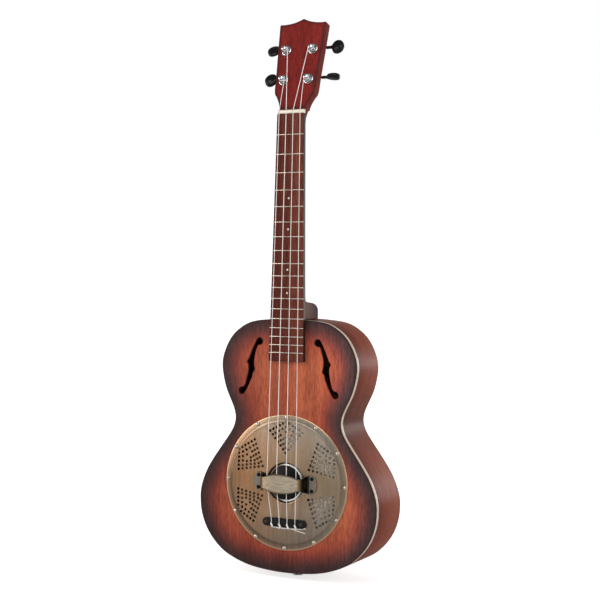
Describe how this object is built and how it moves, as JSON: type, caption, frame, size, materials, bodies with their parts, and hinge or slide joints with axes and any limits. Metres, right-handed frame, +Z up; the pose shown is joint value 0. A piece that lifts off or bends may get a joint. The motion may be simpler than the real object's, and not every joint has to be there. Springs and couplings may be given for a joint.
{
  "type": "resonator ukulele",
  "caption": "Upright tenor resonator ukulele with a sunburst wooden body, f-holes, a pierced brass coverplate over a spun cone, and geared tuners that turn.",
  "frame": {"origin": "on the fingerboard's surface, on the centre line, at the nut's lower edge, where a hanger's yoke grips the neck", "axes": "+Z up along the neck towards the headstock, -Y out of the front, so +Y goes through the body's depth, +X to the right as seen from the front"},
  "size_m": [0.2314, 0.0923, 0.6628],
  "materials": {
    "sunburst_mahogany": "satin sunburst, amber red in the middle and dark brown at the edge",
    "satin_mahogany": "satin",
    "neck_mahogany": "satin",
    "rosewood": "oiled",
    "ebonised_wood": "satin",
    "bare_wood": "bare",
    "cream_binding": "polished",
    "antique_brass": "brushed and aged",
    "spun_aluminium": "spun",
    "chrome": "polished",
    "black_metal": "satin black",
    "black_plastic": "gloss",
    "nylon": "smooth"
  },
  "bodies": {
    "instrument": {"soundboard": "sunburst_mahogany", "back": "satin_mahogany", "rib_bass": "satin_mahogany", "rib_treble": "satin_mahogany", "binding": "cream_binding", "neck_block": "bare_wood", "tail_block": "bare_wood", "lining_front": "bare_wood", "lining_back": "bare_wood", "soundboard_brace": "bare_wood", "back_brace_upper": "bare_wood", "back_brace_lower": "bare_wood", "soundwell": "bare_wood", "cone": "spun_aluminium", "biscuit": "ebonised_wood", "saddle": "bare_wood", "coverplate": "antique_brass", "handrest": "antique_brass", "tailpiece": "black_metal", "fingerboard": "rosewood", "nut": "cream_binding", "neck": "neck_mahogany", "headstock": "neck_mahogany", "strap_button": "chrome", "coverplate_screw_01": "chrome", "coverplate_screw_02": "chrome", "coverplate_screw_03": "chrome", "coverplate_screw_04": "chrome", "coverplate_screw_05": "chrome", "coverplate_screw_06": "chrome", "coverplate_screw_07": "chrome", "coverplate_screw_08": "chrome", "coverplate_screw_09": "chrome", "coverplate_screw_10": "chrome", "coverplate_screw_11": "chrome", "coverplate_screw_12": "chrome", "string_1": "nylon", "string_2": "nylon", "string_3": "nylon", "string_4": "nylon", "tuner_1_plate": "chrome", "tuner_1_bushing": "chrome", "tuner_2_plate": "chrome", "tuner_2_bushing": "chrome", "tuner_3_plate": "chrome", "tuner_3_bushing": "chrome", "tuner_4_plate": "chrome", "tuner_4_bushing": "chrome"},
    "tuner_1_knob": {"tuner_1_shaft": "chrome", "tuner_1_button": "black_plastic"},
    "tuner_1_spindle": {"tuner_1_post": "chrome"},
    "tuner_2_knob": {"tuner_2_shaft": "chrome", "tuner_2_button": "black_plastic"},
    "tuner_2_spindle": {"tuner_2_post": "chrome"},
    "tuner_3_knob": {"tuner_3_shaft": "chrome", "tuner_3_button": "black_plastic"},
    "tuner_3_spindle": {"tuner_3_post": "chrome"},
    "tuner_4_knob": {"tuner_4_shaft": "chrome", "tuner_4_button": "black_plastic"},
    "tuner_4_spindle": {"tuner_4_post": "chrome"}
  },
  "joints": [
    {"name": "tuner_1_turn", "type": "hinge", "parent": "instrument", "child": "tuner_1_knob", "pos_m": [-0.0163, 0.02965, 0.04533], "axis": [1, 0, 0], "continuous": true},
    {"name": "tuner_1_post_turn", "type": "hinge", "parent": "instrument", "child": "tuner_1_spindle", "pos_m": [-0.0163, 0.01384, 0.04186], "axis": [0, -0.9735, 0.2288], "continuous": true},
    {"name": "tuner_2_turn", "type": "hinge", "parent": "instrument", "child": "tuner_2_knob", "pos_m": [-0.0174, 0.03823, 0.08184], "axis": [1, 0, 0], "continuous": true},
    {"name": "tuner_2_post_turn", "type": "hinge", "parent": "instrument", "child": "tuner_2_spindle", "pos_m": [-0.0174, 0.02242, 0.07837], "axis": [0, -0.9735, 0.2288], "continuous": true},
    {"name": "tuner_3_turn", "type": "hinge", "parent": "instrument", "child": "tuner_3_knob", "pos_m": [0.0174, 0.03823, 0.08184], "axis": [1, 0, 0], "continuous": true},
    {"name": "tuner_3_post_turn", "type": "hinge", "parent": "instrument", "child": "tuner_3_spindle", "pos_m": [0.0174, 0.02242, 0.07837], "axis": [0, -0.9735, 0.2288], "continuous": true},
    {"name": "tuner_4_turn", "type": "hinge", "parent": "instrument", "child": "tuner_4_knob", "pos_m": [0.0163, 0.02965, 0.04533], "axis": [1, 0, 0], "continuous": true},
    {"name": "tuner_4_post_turn", "type": "hinge", "parent": "instrument", "child": "tuner_4_spindle", "pos_m": [0.0163, 0.01384, 0.04186], "axis": [0, -0.9735, 0.2288], "continuous": true}
  ],
  "couplings": [
    {"joint": "tuner_1_post_turn", "follows": "tuner_1_turn", "ratio": 0.071429},
    {"joint": "tuner_2_post_turn", "follows": "tuner_2_turn", "ratio": 0.071429},
    {"joint": "tuner_3_post_turn", "follows": "tuner_3_turn", "ratio": 0.071429},
    {"joint": "tuner_4_post_turn", "follows": "tuner_4_turn", "ratio": 0.071429}
  ]
}
